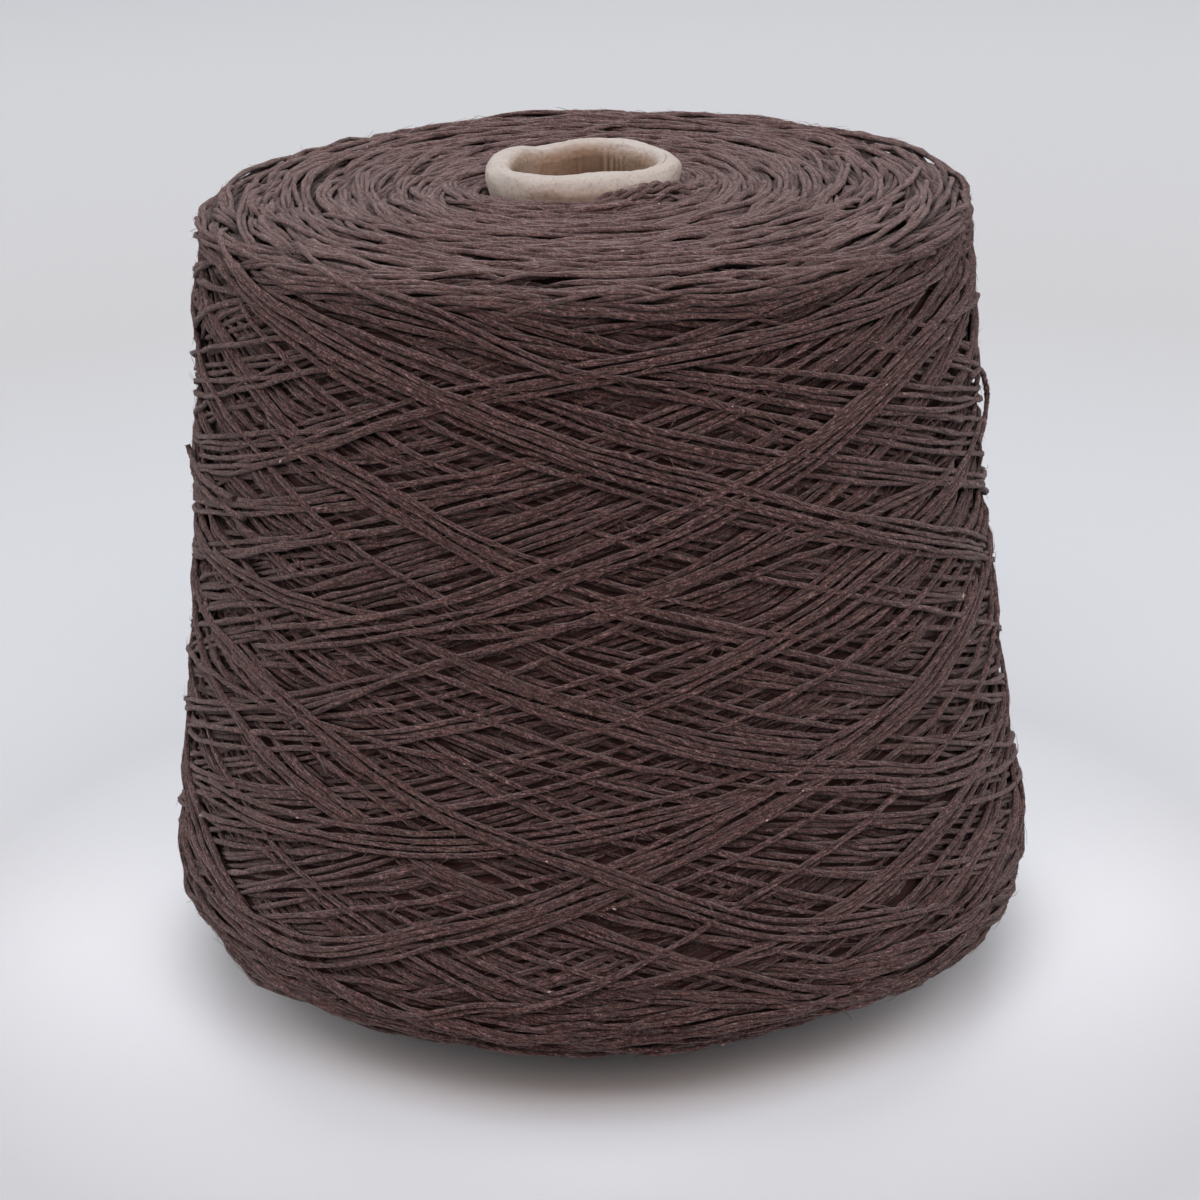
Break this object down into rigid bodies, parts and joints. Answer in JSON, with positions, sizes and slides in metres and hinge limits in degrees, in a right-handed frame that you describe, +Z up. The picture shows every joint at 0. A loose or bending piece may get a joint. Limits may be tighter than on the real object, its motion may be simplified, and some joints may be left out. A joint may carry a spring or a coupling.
{
  "type": "cone of yarn",
  "caption": "Soft matt yarn cross-wound into a thick, slightly tapered package on a paper cone whose rolled nose shows at the top.",
  "frame": {"origin": "centre of the paper cone's base ring, on the surface it stands on", "axes": "+Z up along the cone's axis towards its nose, -Y towards the side that faces the viewer"},
  "size_m": [0.1828, 0.1818, 0.1703],
  "materials": {
    "paper": "raw cream paper board, matt, mottled",
    "yarn": "soft spun yarn, matt, dark brown with a plum cast"
  },
  "bodies": {
    "root": {"paper_cone": "paper", "yarn_winding": "yarn"}
  },
  "joints": []
}
